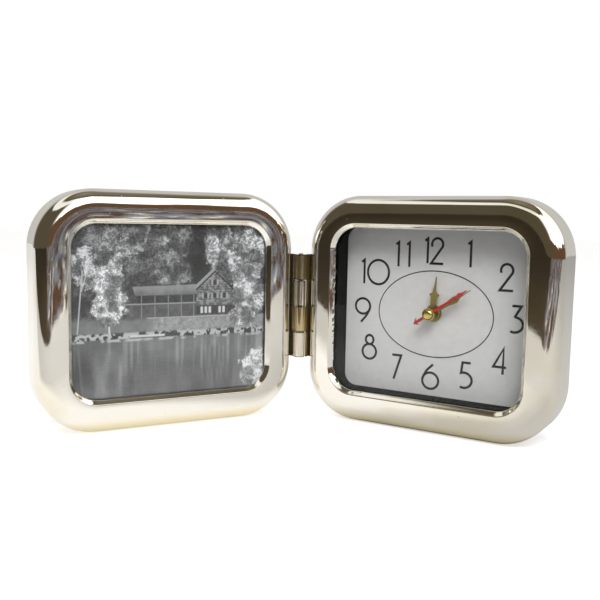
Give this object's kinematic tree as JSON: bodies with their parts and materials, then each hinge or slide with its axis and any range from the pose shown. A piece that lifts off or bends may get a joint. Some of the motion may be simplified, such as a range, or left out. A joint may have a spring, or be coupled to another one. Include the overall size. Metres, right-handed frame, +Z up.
{
  "type": "folding travel alarm clock",
  "caption": "Folding travel alarm clock: a plated case with a quartz alarm clock, hinged to a matching case that frames a picture.",
  "frame": {"origin": "middle of the footprint, on the surface that the open clock stands on", "axes": "+Z up, -Y towards the viewer, X along the two cases, with the clock on the +X side"},
  "size_m": [0.1554, 0.0538, 0.07],
  "materials": {
    "plating": "mirror champagne plating",
    "hinge_metal": "worn bright plating",
    "steel": "bright",
    "lens": "clear",
    "black_plastic": "satin",
    "dial_print": "satin card",
    "gilt": "gilt",
    "red_paint": "gloss",
    "photo_paper": "satin print",
    "card": "matt",
    "grey_plastic": "satin",
    "white_plastic": "moulded",
    "brass": "bright",
    "copper": "enamelled wire",
    "magnet": "sintered",
    "board": "laminate",
    "epoxy": "potting",
    "battery_label": "plain sleeve"
  },
  "bodies": {
    "clock_half": {"clock_case": "plating", "hinge_leaf_clock": "hinge_metal", "hinge_pin": "steel", "hinge_rivets_clock": "hinge_metal", "clock_lens": "lens", "dial_surround": "black_plastic", "dial": "dial_print", "clock_back_cover": "black_plastic", "cover_screws": "steel", "movement_base": "black_plastic", "movement_middle_plate": "grey_plastic", "movement_back_plate": "grey_plastic", "movement_screws": "steel", "stator": "steel", "coil_bobbin": "grey_plastic", "coil_winding": "copper", "circuit_board": "board", "chip": "epoxy", "quartz_crystal": "steel", "sounder_disc": "brass", "switch_contact": "steel", "alarm_contact": "brass", "battery": "battery_label", "battery_contact_positive": "steel", "battery_contact_negative": "steel"},
    "picture_half": {"picture_case": "plating", "hinge_leaf_picture": "hinge_metal", "hinge_rivets_picture": "hinge_metal", "picture_lens": "lens", "picture_print": "photo_paper", "picture_backing": "card", "picture_back_cover": "black_plastic"},
    "rotor": {"rotor_magnet": "magnet", "rotor_pinion": "white_plastic"},
    "intermediate": {"intermediate_wheel": "white_plastic"},
    "seconds": {"second_wheel": "white_plastic", "second_hand": "red_paint", "hand_cap": "gilt"},
    "third": {"third_wheel": "white_plastic"},
    "centre": {"centre_wheel": "white_plastic"},
    "minutes": {"minute_pipe": "brass", "minute_hand": "gilt"},
    "motion_work": {"minute_wheel": "white_plastic"},
    "hours": {"hour_wheel": "white_plastic", "hour_hand": "gilt"},
    "alarm": {"alarm_wheel": "white_plastic", "alarm_hand": "gilt"},
    "time_setting": {"time_setting_shaft": "white_plastic", "time_setting_knob": "grey_plastic"},
    "alarm_setting": {"alarm_setting_shaft": "white_plastic", "alarm_setting_knob": "grey_plastic"},
    "switch": {"alarm_switch": "grey_plastic"},
    "door": {"battery_door": "black_plastic"}
  },
  "joints": [
    {"name": "fold", "type": "hinge", "parent": "clock_half", "child": "picture_half", "pos_m": [0, 0.01172, 0.035], "axis": [0, 0, 1], "range_deg": [-60, 120]},
    {"name": "time_knob_turn", "type": "hinge", "parent": "clock_half", "child": "time_setting", "pos_m": [0.04337, 0.00424, 0.047], "axis": [0.5, 0.866, 0], "continuous": true},
    {"name": "minute_hand_turn", "type": "hinge", "parent": "clock_half", "child": "minutes", "pos_m": [0.04337, 0.00424, 0.035], "axis": [0.5, 0.866, 0], "continuous": true},
    {"name": "minute_wheel_turn", "type": "hinge", "parent": "clock_half", "child": "motion_work", "pos_m": [0.04337, 0.00424, 0.041], "axis": [0.5, 0.866, 0], "continuous": true},
    {"name": "hour_hand_turn", "type": "hinge", "parent": "clock_half", "child": "hours", "pos_m": [0.04337, 0.00424, 0.035], "axis": [0.5, 0.866, 0], "continuous": true},
    {"name": "alarm_knob_turn", "type": "hinge", "parent": "clock_half", "child": "alarm_setting", "pos_m": [0.03549, 0.00878, 0.04025], "axis": [0.5, 0.866, 0], "continuous": true},
    {"name": "alarm_hand_turn", "type": "hinge", "parent": "clock_half", "child": "alarm", "pos_m": [0.04337, 0.00424, 0.035], "axis": [0.5, 0.866, 0], "continuous": true},
    {"name": "second_hand_turn", "type": "hinge", "parent": "clock_half", "child": "seconds", "pos_m": [0.04337, 0.00424, 0.035], "axis": [0.5, 0.866, 0], "continuous": true},
    {"name": "rotor_turn", "type": "hinge", "parent": "clock_half", "child": "rotor", "pos_m": [0.05418, -0.00201, 0.03156], "axis": [0.5, 0.866, 0], "continuous": true},
    {"name": "intermediate_wheel_turn", "type": "hinge", "parent": "clock_half", "child": "intermediate", "pos_m": [0.04906, 0.00095, 0.03261], "axis": [0.5, 0.866, 0], "continuous": true},
    {"name": "third_wheel_turn", "type": "hinge", "parent": "clock_half", "child": "third", "pos_m": [0.03734, 0.00772, 0.03012], "axis": [0.5, 0.866, 0], "continuous": true},
    {"name": "centre_wheel_turn", "type": "hinge", "parent": "clock_half", "child": "centre", "pos_m": [0.04337, 0.00424, 0.035], "axis": [0.5, 0.866, 0], "continuous": true},
    {"name": "alarm_switch_slide", "type": "slide", "parent": "clock_half", "child": "switch", "axis": [0.866, -0.5, 0], "range_m": [0, 0.004]},
    {"name": "battery_door_pull", "type": "slide", "parent": "clock_half", "child": "door", "axis": [0.5, 0.866, 0], "range_m": [0, 0.012]}
  ],
  "couplings": [
    {"joint": "minute_hand_turn", "follows": "time_knob_turn", "ratio": 1},
    {"joint": "minute_wheel_turn", "follows": "time_knob_turn", "ratio": -0.33333},
    {"joint": "hour_hand_turn", "follows": "time_knob_turn", "ratio": 0.083333},
    {"joint": "alarm_hand_turn", "follows": "alarm_knob_turn", "ratio": -0.4},
    {"joint": "rotor_turn", "follows": "second_hand_turn", "ratio": 30},
    {"joint": "intermediate_wheel_turn", "follows": "second_hand_turn", "ratio": -6},
    {"joint": "third_wheel_turn", "follows": "second_hand_turn", "ratio": -0.13333},
    {"joint": "centre_wheel_turn", "follows": "second_hand_turn", "ratio": 0.016667}
  ]
}
